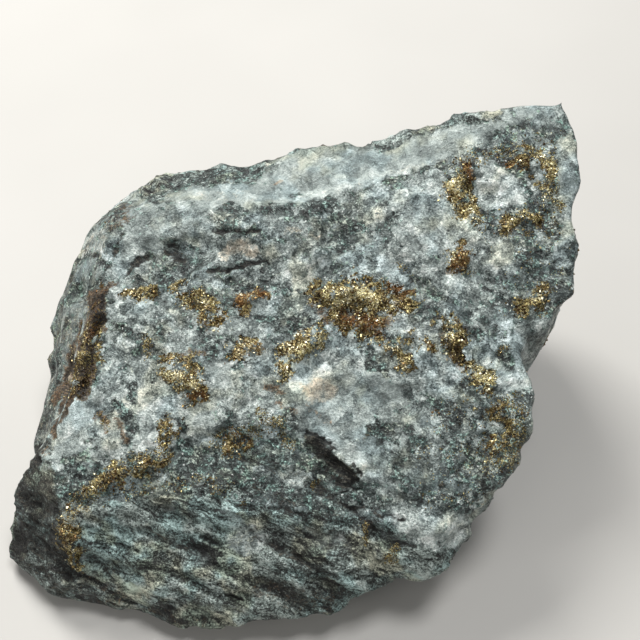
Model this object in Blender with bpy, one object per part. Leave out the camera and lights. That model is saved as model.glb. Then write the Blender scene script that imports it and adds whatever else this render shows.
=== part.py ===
"""Pyrite in matrix: a hand specimen of a quartz vein in chlorite schist, with granular pyrite grown in it.

The matrix is one stone with a flat broken base. Each mass of pyrite is a solid of its own, set in a
socket of the stone, with a few crystals standing proud of it. +Z is up, the big fracture face rises from
the front (-Y) to the back, and the origin is the middle of the base. Lengths are in millimetres until a
mesh is made.
"""

import math
import random

import bmesh
import bpy
from mathutils import Matrix, Vector, noise
from mathutils.bvhtree import BVHTree

MM = 0.001

# The stone's contours, station by station: clockwise seen from above, from the peak at the back right.
# Each station has a point of the rim, where the outline turns under, and the plan place of the edge of
# the big fracture face inside it.
STATIONS = [
    ((32.3, 16.9, 44.4), (30.6, 15.2)), ((33.3, 12.8, 43), (31.4, 8.4)), ((33.1, 5.2, 37.8), (31, 1.5)),
    ((32.9, -4.5, 33), (30.7, -5)), ((29.3, -9.5, 30.5), (28, -9)), ((25.6, -12.6, 28), (24.6, -13)),
    ((27.2, -16.5, 26.5), (25.8, -16.5)), ((26.1, -21.2, 24), (24.5, -21.5)),
    ((25.3, -24.6, 21), (23.6, -24.5)), ((23.1, -26.4, 19), (21.5, -27)), ((20.5, -28.8, 16), (19.2, -29)),
    ((17, -32, 13), (15.5, -31.5)), ((15, -34.5, 11), (13, -32.5)), ((10.5, -34.5, 10), (9.5, -31.5)),
    ((6, -35.5, 8.5), (5.5, -31)), ((2, -37.5, 7), (1, -30.5)), ((-2.5, -38, 6), (-3.5, -29.5)),
    ((-9, -38, 5), (-8.5, -28.5)), ((-15, -39, 4.5), (-14.5, -27.5)), ((-19.5, -38.5, 3.5), (-20.5, -26.5)),
    ((-25, -35.5, 2.5), (-26.5, -27.5)), ((-32, -34, 1.5), (-31.5, -30)), ((-36, -33.5, 1), (-32.5, -27.5)),
    ((-41, -29, 2.5), (-33, -23)), ((-42.4, -26.5, 4), (-32.8, -20)), ((-42.3, -24.5, 5.5), (-31.8, -16)),
    ((-38.6, -19.6, 7), (-31.2, -13.8)), ((-39.7, -15, 8.2), (-30.5, -11.5)), ((-39, -9, 11), (-29.5, -7)),
    ((-38.7, -2, 15), (-28.5, -2)), ((-35.1, 5, 21), (-27.5, 2)), ((-33.5, 10, 25), (-26.5, 5.5)),
    ((-27.9, 13, 28.2), (-23.5, 5.5)), ((-24, 15.6, 31), (-20, 5.5)), ((-18, 15.9, 33), (-15, 5.5)),
    ((-11, 14.5, 33.6), (-8.5, 5.5)), ((-3.2, 15.4, 36.4), (-2.2, 6)), ((2.5, 15.5, 37), (4, 7.5)),
    ((11.8, 16.6, 39), (12, 9)), ((17.8, 17, 40.8), (16.5, 10.5)), ((24, 17, 42.4), (23.2, 14)),
    ((28.6, 17.1, 43.8), (27.4, 15)),
]
# Corners between rim and face that aren't midway: the chipped step along the front left foot.
SHOULDERS = {
    16: (-3.5, -35.5, 10), 17: (-10, -37.3, 6.8), 18: (-17, -36.8, 7.5), 19: (-21.5, -34.8, 9.5),
    20: (-26.5, -33.5, 9), 21: (-31.5, -33, 8.5), 22: (-35.5, -31.5, 7),
}
# The big fracture face, as (height at 0,0, rise per mm of x, rise per mm of y).
FACE_PLANE = (33.0, 0.06, 0.5)
CENTRE = Vector((-5, -8, 0))
FACE_CENTRE = (-2, -9)
# How far the foot lies inside the rim: at least, more per mm of rim height, and more again at the front.
FOOT_INSET = (0.5, 0.13, 0.72)
BELLY_HEIGHT = 0.45        # share of the rim's height
BELLY_BULGE = (-0.2, 5.5)  # front and back

GRID = 1.5                # edge of the remeshed blank's faces
FOOT_CUT = 0.5            # the foot is cut flat this far up
STONE_TRIANGLES = 4800

# The schist's layers cross the stone on edge. Their normal, and the plane where the quartz vein begins.
LAYER_NORMAL = Vector((0.36, 0.86, 0.36)).normalized()
VEIN_NORMAL = Vector((0.115, 0.937, 0.328)).normalized()
VEIN_FRONT = -17.5
VEIN_BACK = 24.0
VEIN_BLUR = 2.0
LAYER_PITCH = 4.6
LAYER_STEP = 0.9
LAYER_STRENGTH = (0.6, 0.7)   # least share of the step, and how much more it varies
BLOCK_SIZE = 8.0
BLOCK_DEPTH = 1.0
BLOCK_TILT = 0.9
ROUGHNESS = 0.55
ROUGH_WAVE = 5.0
WANDER = 1.6                  # how far the vein's faces and the layers stray from flat

# Breaks where the ground drops towards the front: plan points, drop, and how soon it climbs back. They lie
# on the big face alone, so they fade out below it.
LEDGE_WIDTH = 1.2
LEDGE_HEIGHTS = (12, 16)
LEDGES = [
    ([(-13, -20.5), (-4.5, -20), (1, -23), (5.8, -26.3), (10, -27.5)], 2.2, 7.0),
    ([(-25, 1.5), (-15, 2.5), (-4, 0.5), (2, -1.5)], 0.8, 5.0),
    ([(-8, 9), (2, 10.5), (12, 12)], 0.9, 4.0),
    ([(12, -16), (19, -18.5), (24, -20.5)], 1.1, 6.0),
]
# Hollows: centre, radius and depth.
PITS = [
    ((4.5, -8, 29), 4.5, 1.3), ((26.5, -12.8, 27), 5, 1.0), ((-19, 0, 32), 5, 0.8), ((7, 16, 38), 5, 0.5),
    ((14.5, 16.5, 39), 5, 0.4), ((10, -33, 3), 7, 1.5), ((-34, -12, 19), 6, 1.2), ((30, 2, 16), 9, 1.8),
    ((2, 22, 14), 9, 1.8), ((-24, 19, 20), 8, 1.4), ((-37, -4, 4), 9, 1.6), ((-15, -31, 15), 6, 1.0),
]

# The masses of pyrite. Each is a few ribbons of grown-together crystals, given by points along its middle
# as (plan x, plan y, width). The hidden ones are seen from behind or from the side: their first two
# numbers are then (x, z) or (y, z).
SOCKET_GAP = 0.3
DEPTH = (0.9, 0.45)      # least depth below the surface, and more per mm of width
STATION_STEP = 2.4       # longest run between cross-sections
RAGGED = (0.55, 1.4)     # how the half width varies from side to side
RIDGE_SHARE = 0.4        # how far out the top's inner points lie, as a share of the half width
ROOT_SHARE = 0.6         # and the root's corners
EDGE_LIFT = 0.15
RIDGE_LIFT = (0.25, 0.7)
CRYSTAL_SIZE = (0.9, 1.8)
CRYSTAL_SHARE = 1.1      # the largest crystal, as a share of the half width
CRYSTAL_LIFT = 0.25      # how far a crystal's middle stands over the surface, in edges
HALF_DIAGONAL = 0.87     # of a cube, in edges
CRYSTAL_AREA = 6.5       # one crystal stands proud on about this much of a mass
SKY = 5.0                # how far above the stone a ray or a socket's cutter starts
PYRITE = {
    "pyrite_centre": ("above", [
        [(-0.6, -5.2, 1.6), (1.4, -5.3, 4.2), (4.2, -5.3, 5.6), (6.9, -5.6, 4.8), (9.3, -6, 2.8),
         (11.7, -6.3, 1.8)],
        [(2.2, -6.8, 2.2), (4.6, -8.5, 2.8), (7.8, -9.3, 2.2)],
    ]),
    "pyrite_streak": ("above", [
        [(0.2, -9.7, 1.8), (-1.5, -11.2, 2.9), (-3.2, -12.6, 2.6), (-4.7, -14.1, 1.6)],
    ]),
    "pyrite_nugget": ("above", [
        [(-19.4, -13.3, 1.6), (-17.2, -14.2, 3.6), (-15.4, -15.2, 3.2), (-13.8, -16.3, 1.6)],
    ]),
    "pyrite_seam": ("above", [
        [(-27.6, -3.4, 1.6), (-28.2, -6.3, 2.6), (-28.8, -8.8, 3.4), (-29.4, -11, 3.8), (-30, -13.2, 3.4),
         (-30.8, -15.4, 2)],
    ]),
    "pyrite_front_band": ("above", [
        [(-19.2, -22.3, 2), (-21.3, -23.4, 3.6), (-23.4, -24, 3.2), (-25.6, -24.8, 2.4), (-27.6, -26.2, 1.8),
         (-29.2, -27.4, 1.4)],
        [(-17.3, -17.6, 1.2), (-18.2, -19.6, 1.9), (-19.4, -22, 1.8)],
    ]),
    "pyrite_corner": ("above", [[(-31, -29.8, 1.4), (-31, -31.1, 1.8), (-30.8, -32.6, 1.3)]]),
    "pyrite_upper_vein": ("above", [
        [(19, 9.2, 1.4), (18.3, 7.4, 2), (17.6, 5.9, 2.8), (18.8, 4.3, 2), (19.3, 2.4, 1.7), (19.2, 0.4, 2),
         (18.3, -1.3, 2.2), (17.5, -3.1, 1.5)],
    ]),
    "pyrite_peak": ("above", [[(25.4, 9.9, 1.5), (27.6, 9.8, 2), (28.6, 7.9, 2.5), (28.4, 6, 1.5)]]),
    "pyrite_right_patch": ("above", [[(23.4, 1.6, 1.5), (25.6, 2.4, 2.2), (28, 2.2, 1.6)]]),
    "pyrite_right_edge": ("above", [[(23.9, -7.2, 1.5), (25.5, -8, 2.1), (27.2, -7, 2), (28.4, -5.6, 1.4)]]),
    "pyrite_right_band": ("above", [
        [(15.1, -9.1, 1.8), (16.6, -10.6, 3), (17.1, -12.2, 3), (18.3, -13.6, 2.6), (19.8, -15, 2.8),
         (21.2, -16.3, 1.6)],
    ]),
    "pyrite_right_fleck": ("above", [[(10.5, -13.8, 1.3), (12, -13.1, 1.8), (13.4, -12.2, 1.2)]]),
    "pyrite_right_sliver": ("above", [[(8.4, -11.9, 1), (9.8, -11.2, 1.4), (11.2, -10.6, 1)]]),
    "pyrite_left_fleck": ("above", [[(-24.6, -5, 1.1), (-22.7, -4.4, 1.8), (-20.8, -4, 1.3)]]),
    "pyrite_stringer": ("above", [
        [(-18.4, -3.1, 1.5), (-16.8, -4.5, 2.4), (-15, -5.6, 2.2), (-13.6, -7, 2), (-12.2, -8.2, 1.3)],
    ]),
    "pyrite_mid_fleck": ("above", [[(-10.1, -5.9, 1.1), (-8.1, -5.2, 1.9), (-6.3, -5, 1.2)]]),
    "pyrite_low_fleck": ("above", [[(-10.9, -11.5, 1.3), (-9.4, -11.3, 2.3), (-7.7, -11.1, 1.2)]]),
    "pyrite_lobe": ("above", [[(-11.9, -21.7, 1.5), (-10.2, -21.3, 2.4), (-8.6, -20.9, 1.5)]]),
    "pyrite_right_corner": ("above", [[(21.8, -18.6, 1.3), (22.3, -20.6, 1.8), (21.2, -22.8, 1.3)]]),
    "pyrite_back_a": ("behind", [[(-14, 22, 1.8), (-11, 20, 3.2), (-7.5, 19.5, 2.6), (-4.5, 17.5, 1.5)]]),
    "pyrite_back_b": ("behind", [[(13, 30, 1.5), (14.5, 27, 2.6), (16.5, 24.5, 1.6)]]),
    "pyrite_side": ("right", [[(2, 24, 1.5), (-0.5, 21.5, 2.8), (-3, 20.5, 2.2), (-5.5, 18, 1.4)]]),
}


def face_height(x, y):
    """Height of the big fracture face over a place in the plan."""
    height, rise_x, rise_y = FACE_PLANE
    return height + rise_x * x + rise_y * y


def smooth_step(value, low, high):
    """Rises from 0 to 1 between low and high."""
    share = min(1.0, max(0.0, (value - low) / (high - low)))
    return share * share * (3 - 2 * share)


def contour_rings():
    """The stone's rings of corners, from the foot up to the edge of the big face."""
    foot, belly, rim, shoulder, face = [], [], [], [], []
    for index, (rim_point, edge) in enumerate(STATIONS):
        rim_point = Vector(rim_point)
        outward = Vector((rim_point.x - CENTRE.x, rim_point.y - CENTRE.y, 0)).normalized()
        undercut = FOOT_INSET[1] + FOOT_INSET[2] * max(0.0, -outward.y)
        inset = FOOT_INSET[0] + undercut * rim_point.z
        foot_point = Vector((rim_point.x, rim_point.y, 0)) - outward * inset
        back = smooth_step(outward.y, 0.1, 0.8)
        bulge = BELLY_BULGE[0] + (BELLY_BULGE[1] - BELLY_BULGE[0]) * back
        face_point = Vector((edge[0], edge[1], face_height(*edge)))
        foot.append(foot_point)
        belly.append(foot_point.lerp(rim_point, BELLY_HEIGHT) + outward * bulge)
        rim.append(rim_point)
        shoulder.append(Vector(SHOULDERS.get(index, rim_point.lerp(face_point, 0.5))))
        face.append(face_point)
    return [foot, belly, rim, shoulder, face]


def build_cage():
    """A closed cage of the stone: rings bridged by quads, with a fan over the face and under the foot."""
    cage = bmesh.new()
    rings = [[cage.verts.new(point * MM) for point in ring] for ring in contour_rings()]
    count = len(STATIONS)
    for lower, upper in zip(rings, rings[1:]):
        for i in range(count):
            j = (i + 1) % count
            cage.faces.new((lower[j], lower[i], upper[i], upper[j]))
    top = cage.verts.new(Vector((*FACE_CENTRE, face_height(*FACE_CENTRE))) * MM)
    bottom = cage.verts.new(Vector((CENTRE.x, CENTRE.y, 0)) * MM)
    for i in range(count):
        j = (i + 1) % count
        cage.faces.new((rings[-1][j], rings[-1][i], top))
        cage.faces.new((rings[0][i], rings[0][j], bottom))
    bmesh.ops.recalc_face_normals(cage, faces=cage.faces)
    return cage


def applied(body):
    """Replace an object's mesh by what its modifiers make of it."""
    bpy.context.view_layer.update()
    evaluated = body.evaluated_get(bpy.context.evaluated_depsgraph_get())
    mesh = bpy.data.meshes.new_from_object(evaluated)
    body.modifiers.clear()
    body.data = mesh
    return mesh


def make_object(name, mesh_builder, material=None):
    """A new object from a bmesh, which is freed."""
    mesh = bpy.data.meshes.new(name)
    mesh_builder.to_mesh(mesh)
    mesh_builder.free()
    body = bpy.data.objects.new(name, mesh)
    bpy.context.scene.collection.objects.link(body)
    if material:
        mesh.materials.append(material)
    return body


# Relief of the broken stone, all in millimetres.

def schist_share(point):
    """0 in the quartz vein, 1 in the schist in front of it and behind it."""
    across = VEIN_NORMAL.dot(point) + WANDER * noise.noise(point * 0.16)
    front = smooth_step(-across, -VEIN_FRONT - VEIN_BLUR, -VEIN_FRONT + VEIN_BLUR)
    back = smooth_step(across, VEIN_BACK - VEIN_BLUR, VEIN_BACK + VEIN_BLUR)
    return max(front, back)


def layer_relief(point):
    """Saw teeth where the schist's layers have broken off one behind the other."""
    phase = (LAYER_NORMAL.dot(point) + WANDER * noise.noise(point * 0.11)) / LAYER_PITCH
    tooth = phase - math.floor(phase)
    least, change = LAYER_STRENGTH
    strength = least + change * noise.noise(point * 0.09 + Vector((7, 3, 1)))
    return LAYER_STEP * strength * (tooth - 0.5) * schist_share(point)


def block_relief(point):
    """Flat tilted facets of broken quartz, one to each Voronoi cell."""
    cell = noise.voronoi(point / BLOCK_SIZE)[1][0]
    tilt = (noise.cell_vector(cell * 7.3) - Vector((0.5, 0.5, 0.5))) * BLOCK_TILT
    lift = noise.noise(cell * 5.1 + Vector((0.4, 0.2, 0.7)))
    return BLOCK_DEPTH * (lift + tilt.dot(point / BLOCK_SIZE - cell))


def ledge_relief(point):
    """The drop in front of each ledge, which is sharp at its edge and fades away from it."""
    on_top = smooth_step(point.z, *LEDGE_HEIGHTS)
    total = 0.0
    for edge, drop, fade in LEDGES:
        best = None
        for (ax, ay), (bx, by) in zip(edge, edge[1:]):
            run = Vector((bx - ax, by - ay))
            start = Vector((point.x - ax, point.y - ay))
            share = min(1.0, max(0.0, start.dot(run) / run.length_squared))
            gap = start - run * share
            side = gap.x * run.y - gap.y * run.x
            if best is None or gap.length < best[0]:
                best = (gap.length, side / run.length)
        distance, side = best
        if side > 0:
            total -= drop * smooth_step(side, 0, LEDGE_WIDTH) * math.exp(-distance / fade)
    return total * on_top


def pit_relief(point):
    """Rounded hollows."""
    total = 0.0
    for centre, radius, depth in PITS:
        distance = (point - Vector(centre)).length
        total -= depth * (1 - smooth_step(distance, 0, radius))
    return total


def relief(point):
    """How far the stone's surface stands out from the cage at a point."""
    rough = ROUGHNESS * noise.fractal(point / ROUGH_WAVE, 0.9, 2.1, 3)
    return rough + block_relief(point) + layer_relief(point) + ledge_relief(point) + pit_relief(point)


def build_stone(material):
    """The whole stone before its sockets are cut: remeshed, broken into relief, thinned and cut flat."""
    stone = make_object("matrix", build_cage(), material)
    remesh = stone.modifiers.new("grain", "REMESH")
    remesh.mode = "VOXEL"
    remesh.voxel_size = GRID * MM
    mesh = applied(stone)
    shell = bmesh.new()
    shell.from_mesh(mesh)
    shell.normal_update()
    moves = [(vertex.normal.copy(), relief(vertex.co / MM)) for vertex in shell.verts]
    for vertex, (normal, height) in zip(shell.verts, moves):
        if vertex.co.z < FOOT_CUT * MM:
            height = 0.0
        vertex.co += normal * height * MM
    bmesh.ops.triangulate(shell, faces=shell.faces)
    count = len(shell.faces)
    shell.to_mesh(mesh)
    shell.free()
    thin = stone.modifiers.new("thin", "DECIMATE")
    thin.ratio = STONE_TRIANGLES / count
    mesh = applied(stone)
    shell = bmesh.new()
    shell.from_mesh(mesh)
    geometry = shell.verts[:] + shell.edges[:] + shell.faces[:]
    bmesh.ops.bisect_plane(shell, geom=geometry, dist=1e-7, plane_co=(0, 0, FOOT_CUT * MM),
                           plane_no=(0, 0, 1), clear_inner=True)
    rim = [edge for edge in shell.edges if edge.is_boundary]
    bmesh.ops.holes_fill(shell, edges=rim, sides=0)
    bmesh.ops.triangulate(shell, faces=shell.faces)
    bmesh.ops.recalc_face_normals(shell, faces=shell.faces)
    shell.to_mesh(mesh)
    shell.free()
    return stone


# Pyrite: ribbons laid in the surface.

def view_ray(side, across, along):
    """Where a ribbon's point is seen from, and in which direction."""
    far = 90
    if side == "above":
        return Vector((across, along, far)), Vector((0, 0, -1))
    if side == "behind":
        return Vector((across, far, along)), Vector((0, -1, 0))
    return Vector((far, across, along)), Vector((-1, 0, 0))


def surface_point(tree, start, direction):
    """The first point of the stone on a ray, in mm, and its normal."""
    place, normal, _, _ = tree.ray_cast(start * MM, direction)
    return place / MM, normal


def finer_ribbon(ribbon):
    """A ribbon's points with more between them, so that no run is long."""
    points = [Vector(ribbon[0])]
    for start, end in zip(ribbon, ribbon[1:]):
        start, end = Vector(start), Vector(end)
        count = math.ceil((end - start).xy.length / STATION_STEP)
        points += [start.lerp(end, (i + 1) / count) for i in range(count)]
    return points


def ribbon_stations(tree, side, ribbon, dice):
    """A ribbon's middle points on the surface, its ragged left and right arms there, and its normal."""
    points = finer_ribbon(ribbon)
    hits = [surface_point(tree, *view_ray(side, point.x, point.y)) for point in points]
    normal = sum((hit[1] for hit in hits), Vector()).normalized()
    middles = [hit[0] for hit in hits]
    arms = []
    for i, point in enumerate(points):
        run = middles[min(i + 1, len(middles) - 1)] - middles[max(i - 1, 0)]
        step = normal.cross(run).normalized() * point.z / 2
        arms.append((step * -dice.uniform(*RAGGED), step * dice.uniform(*RAGGED)))
    return middles, arms, normal


def loft(rings):
    """A closed body through rings of equally many points, its two ends filled."""
    body = bmesh.new()
    rows = [[body.verts.new(point * MM) for point in ring] for ring in rings]
    count = len(rows[0])
    for near, far in zip(rows, rows[1:]):
        for i in range(count):
            j = (i + 1) % count
            body.faces.new((near[i], near[j], far[j], far[i]))
    body.faces.new(list(reversed(rows[0])))
    body.faces.new(rows[-1])
    bmesh.ops.triangulate(body, faces=body.faces)
    bmesh.ops.recalc_face_normals(body, faces=body.faces)
    return body


def depth_under(arms):
    """How deep a mass reaches below the surface at a cross-section."""
    left, right = arms
    return DEPTH[0] + DEPTH[1] * (left.length + right.length)


def mass_rings(tree, stations, dice):
    """Cross-sections of a mass: its rough top follows the stone, and its root is narrower."""
    middles, all_arms, normal = stations
    rings = []
    for middle, arms in zip(middles, all_arms):
        left, right = arms
        top = []
        for arm, share in ((left, 1), (left, RIDGE_SHARE), (right, RIDGE_SHARE), (right, 1)):
            place = surface_point(tree, middle + arm * share + normal * SKY, -normal)[0]
            lift = EDGE_LIFT if share == 1 else dice.uniform(*RIDGE_LIFT)
            top.append(place + normal * lift)
        root = middle - normal * depth_under(arms)
        rings.append(top + [root + right * ROOT_SHARE, root + left * ROOT_SHARE])
    return rings


def socket_rings(stations):
    """Cross-sections of the socket's cutter: the mass and its gap, open far above the stone."""
    middles, all_arms, normal = stations
    before = (middles[0] - middles[1]).normalized() * SOCKET_GAP
    after = (middles[-1] - middles[-2]).normalized() * SOCKET_GAP
    ends = [before] + [Vector()] * (len(middles) - 2) + [after]
    rings = []
    for middle, arms, end in zip(middles, all_arms, ends):
        left, right = [arm + arm.normalized() * SOCKET_GAP for arm in arms]
        down = normal * (depth_under(arms) + SOCKET_GAP)
        up = normal * SKY
        centre = middle + end
        rings.append([centre + left + up, centre + right + up, centre + right - down, centre + left - down])
    return rings


def boolean(body, tool, operation):
    """Join or cut with another object, which is then removed."""
    modifier = body.modifiers.new("boolean", "BOOLEAN")
    modifier.operation = operation
    modifier.solver = "EXACT"
    modifier.object = tool
    applied(body)
    bpy.data.objects.remove(tool)


def add_crystals(mass, stations, dice):
    """Small cubes grown into the top of a mass."""
    middles, all_arms, normal = stations
    area = 0.0
    for i in range(len(middles) - 1):
        left, right = all_arms[i]
        narrow = min(arm.length for arm in all_arms[i] + all_arms[i + 1])
        area += (middles[i + 1] - middles[i]).length * (left.length + right.length)
        if area < CRYSTAL_AREA:
            continue
        area -= CRYSTAL_AREA
        size = min(dice.uniform(*CRYSTAL_SIZE), narrow * CRYSTAL_SHARE)
        room = max(0.0, narrow - HALF_DIAGONAL * size)
        sideways = right.normalized() * dice.uniform(-room, room)
        place = middles[i].lerp(middles[i + 1], 0.3) + sideways + normal * size * CRYSTAL_LIFT
        turn = Matrix.Rotation(dice.uniform(0, 3), 4, "X") @ Matrix.Rotation(dice.uniform(0, 3), 4, "Z")
        cube = bmesh.new()
        bmesh.ops.create_cube(cube, size=size * MM, matrix=Matrix.Translation(place * MM) @ turn)
        boolean(mass, make_object("crystal", cube), "UNION")


def build_mass(name, stone, tree, side, ribbons, material):
    """One mass of pyrite, and its socket in the stone."""
    dice = random.Random(name)
    mass = None
    for ribbon in ribbons:
        stations = ribbon_stations(tree, side, ribbon, dice)
        piece = make_object(name, loft(mass_rings(tree, stations, dice)), material)
        boolean(stone, make_object("socket", loft(socket_rings(stations))), "DIFFERENCE")
        if mass is None:
            mass = piece
        else:
            boolean(mass, piece, "UNION")
        add_crystals(mass, stations, dice)
    return mass


def centre_on_base(bodies):
    """Move every mesh so that the middle of the whole part's base is the origin."""
    points = [vertex.co for body in bodies for vertex in body.data.vertices]
    low = [min(point[axis] for point in points) for axis in range(3)]
    high = [max(point[axis] for point in points) for axis in range(3)]
    middle = Vector(((low[0] + high[0]) / 2, (low[1] + high[1]) / 2, low[2]))
    for body in bodies:
        body.data.transform(Matrix.Translation(-middle))


def make_material(name, colour, roughness, metallic):
    """A Principled material."""
    material = bpy.data.materials.new(name)
    material.use_nodes = True
    shader = material.node_tree.nodes["Principled BSDF"]
    shader.inputs["Base Color"].default_value = (*colour, 1)
    shader.inputs["Roughness"].default_value = roughness
    shader.inputs["Metallic"].default_value = metallic
    return material


def main():
    for leftover in list(bpy.data.objects):
        bpy.data.objects.remove(leftover)
    rock = make_material("quartz_schist", (0.24, 0.28, 0.29), 0.6, 0.0)
    pyrite = make_material("pyrite", (0.42, 0.3, 0.11), 0.3, 0.9)
    stone = build_stone(rock)
    tree = BVHTree.FromObject(stone, bpy.context.evaluated_depsgraph_get())
    bodies = [stone]
    for name, (side, ribbons) in PYRITE.items():
        bodies.append(build_mass(name, stone, tree, side, ribbons, pyrite))
    centre_on_base(bodies)


main()
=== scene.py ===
"""Pyrite in matrix: the looks of a hand specimen of vein quartz and chlorite schist with granular pyrite.

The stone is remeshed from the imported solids, roughened, and coloured by one procedural material that is
steered by painted masks. Each mass of pyrite is a crust of small crystals that stands for its solid.
Lengths are in millimetres until a mesh is made.
"""

import math
import random

import bmesh
import bpy
import numpy as np
from mathutils import Matrix, Vector, noise
from mathutils.bvhtree import BVHTree


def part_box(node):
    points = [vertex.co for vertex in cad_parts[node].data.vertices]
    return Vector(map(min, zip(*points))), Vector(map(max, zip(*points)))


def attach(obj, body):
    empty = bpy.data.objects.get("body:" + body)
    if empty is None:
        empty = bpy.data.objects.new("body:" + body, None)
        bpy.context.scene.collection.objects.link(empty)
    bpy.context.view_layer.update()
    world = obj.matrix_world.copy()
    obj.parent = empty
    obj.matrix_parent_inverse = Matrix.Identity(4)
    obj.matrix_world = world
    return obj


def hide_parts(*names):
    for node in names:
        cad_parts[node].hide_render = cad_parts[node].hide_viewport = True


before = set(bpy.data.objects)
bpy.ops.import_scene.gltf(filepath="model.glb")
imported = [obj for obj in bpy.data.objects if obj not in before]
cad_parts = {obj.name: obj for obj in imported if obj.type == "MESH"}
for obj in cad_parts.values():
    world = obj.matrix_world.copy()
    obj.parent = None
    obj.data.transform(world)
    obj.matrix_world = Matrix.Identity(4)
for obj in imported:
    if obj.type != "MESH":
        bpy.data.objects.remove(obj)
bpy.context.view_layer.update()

MM = 0.001
PICTURE = 640              # side of the square picture, in pixels

# Camera, in mm in the part's frame.
ELEVATION = math.radians(52)
TARGET = Vector((4.29, 9.73, 17.5))
DISTANCE = 125.0
LENS, SENSOR = 50.0, 36.0

# The vein and the schist's layers, as the solids have them.
LAYER_NORMAL = Vector((0.36, 0.86, 0.36)).normalized()
VEIN_NORMAL = Vector((0.115, 0.937, 0.328)).normalized()
VEIN_FRONT, VEIN_BACK = -7.4, 33.5

CLOSE_GAP = 0.22           # how far the solids swell to close the sockets' gaps
VOXEL = 0.41               # the skin's mesh size
SMOOTHING = 3              # rounds that take the mesh's steps away


def view_axes():
    """The camera's place, and its right, up and forward directions."""
    back = Vector((0, -math.cos(ELEVATION), math.sin(ELEVATION)))
    up = Vector((0, math.sin(ELEVATION), math.cos(ELEVATION)))
    return TARGET + back * DISTANCE, Vector((1, 0, 0)), up, -back


def picture_place(points):
    """Pixel columns and rows of points in mm, as the camera sees them."""
    eye, right, up, forward = (np.array(v) for v in view_axes())
    away = points - eye
    depth = away @ forward
    scale = PICTURE / SENSOR * LENS / depth
    return PICTURE / 2 + away @ right * scale, PICTURE / 2 - away @ up * scale


# The stone's shape.

def welded_copy(node):
    """A bmesh of a solid with its split corners joined again."""
    shell = bmesh.new()
    shell.from_mesh(node.data)
    bmesh.ops.remove_doubles(shell, verts=shell.verts, dist=1e-6)
    shell.normal_update()
    return shell


def applied(body):
    """Replace an object's mesh by what its modifiers make of it."""
    bpy.context.view_layer.update()
    evaluated = body.evaluated_get(bpy.context.evaluated_depsgraph_get())
    mesh = bpy.data.meshes.new_from_object(evaluated)
    body.modifiers.clear()
    body.data = mesh
    return mesh


def link(name, data):
    body = bpy.data.objects.new(name, data)
    bpy.context.scene.collection.objects.link(body)
    return body


def keep_largest_island(shell):
    """Delete everything but the largest connected piece."""
    left, islands = set(shell.verts), []
    while left:
        stack, island = [left.pop()], set()
        while stack:
            vertex = stack.pop()
            island.add(vertex)
            near = {edge.other_vert(vertex) for edge in vertex.link_edges} & left
            left -= near
            stack += near
        islands.append(island)
    largest = max(islands, key=len)
    spare = [vertex for vertex in shell.verts if vertex not in largest]
    bmesh.ops.delete(shell, geom=spare, context="VERTS")


def closed_stone():
    """One fine skin over the stone and the pyrite in its sockets."""
    whole = bmesh.new()
    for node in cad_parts.values():
        shell = welded_copy(node)
        for vertex in shell.verts:
            vertex.co += vertex.normal * CLOSE_GAP * MM
        part = bpy.data.meshes.new("swollen")
        shell.to_mesh(part)
        shell.free()
        whole.from_mesh(part)
        bpy.data.meshes.remove(part)
    mesh = bpy.data.meshes.new("matrix_surface")
    whole.to_mesh(mesh)
    whole.free()
    body = link("matrix_surface", mesh)
    remesh = body.modifiers.new("skin", "REMESH")
    remesh.mode = "VOXEL"
    remesh.voxel_size = VOXEL * MM
    mesh = applied(body)
    shell = bmesh.new()
    shell.from_mesh(mesh)
    keep_largest_island(shell)
    for _ in range(SMOOTHING):
        bmesh.ops.smooth_vert(shell, verts=shell.verts, factor=0.5,
                              use_axis_x=True, use_axis_y=True, use_axis_z=True)
    shell.normal_update()
    for vertex in shell.verts:
        vertex.co -= vertex.normal * CLOSE_GAP * MM
    shell.normal_update()
    shell.to_mesh(mesh)
    shell.free()
    return body


def smooth_step(value, low, high):
    share = np.clip((value - low) / (high - low), 0, 1)
    return share * share * (3 - 2 * share)


# Painted masks, laid over one another in this order: filled areas first, and strokes over them. A row has
# a name, how soft the area's edge is or how wide the stroke is in pixels, and what it paints and how much.
# After the colon come its outlines or lines, as columns and rows of the picture, with a bar between one line
# and the next. An indented line carries the row above it on.

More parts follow.
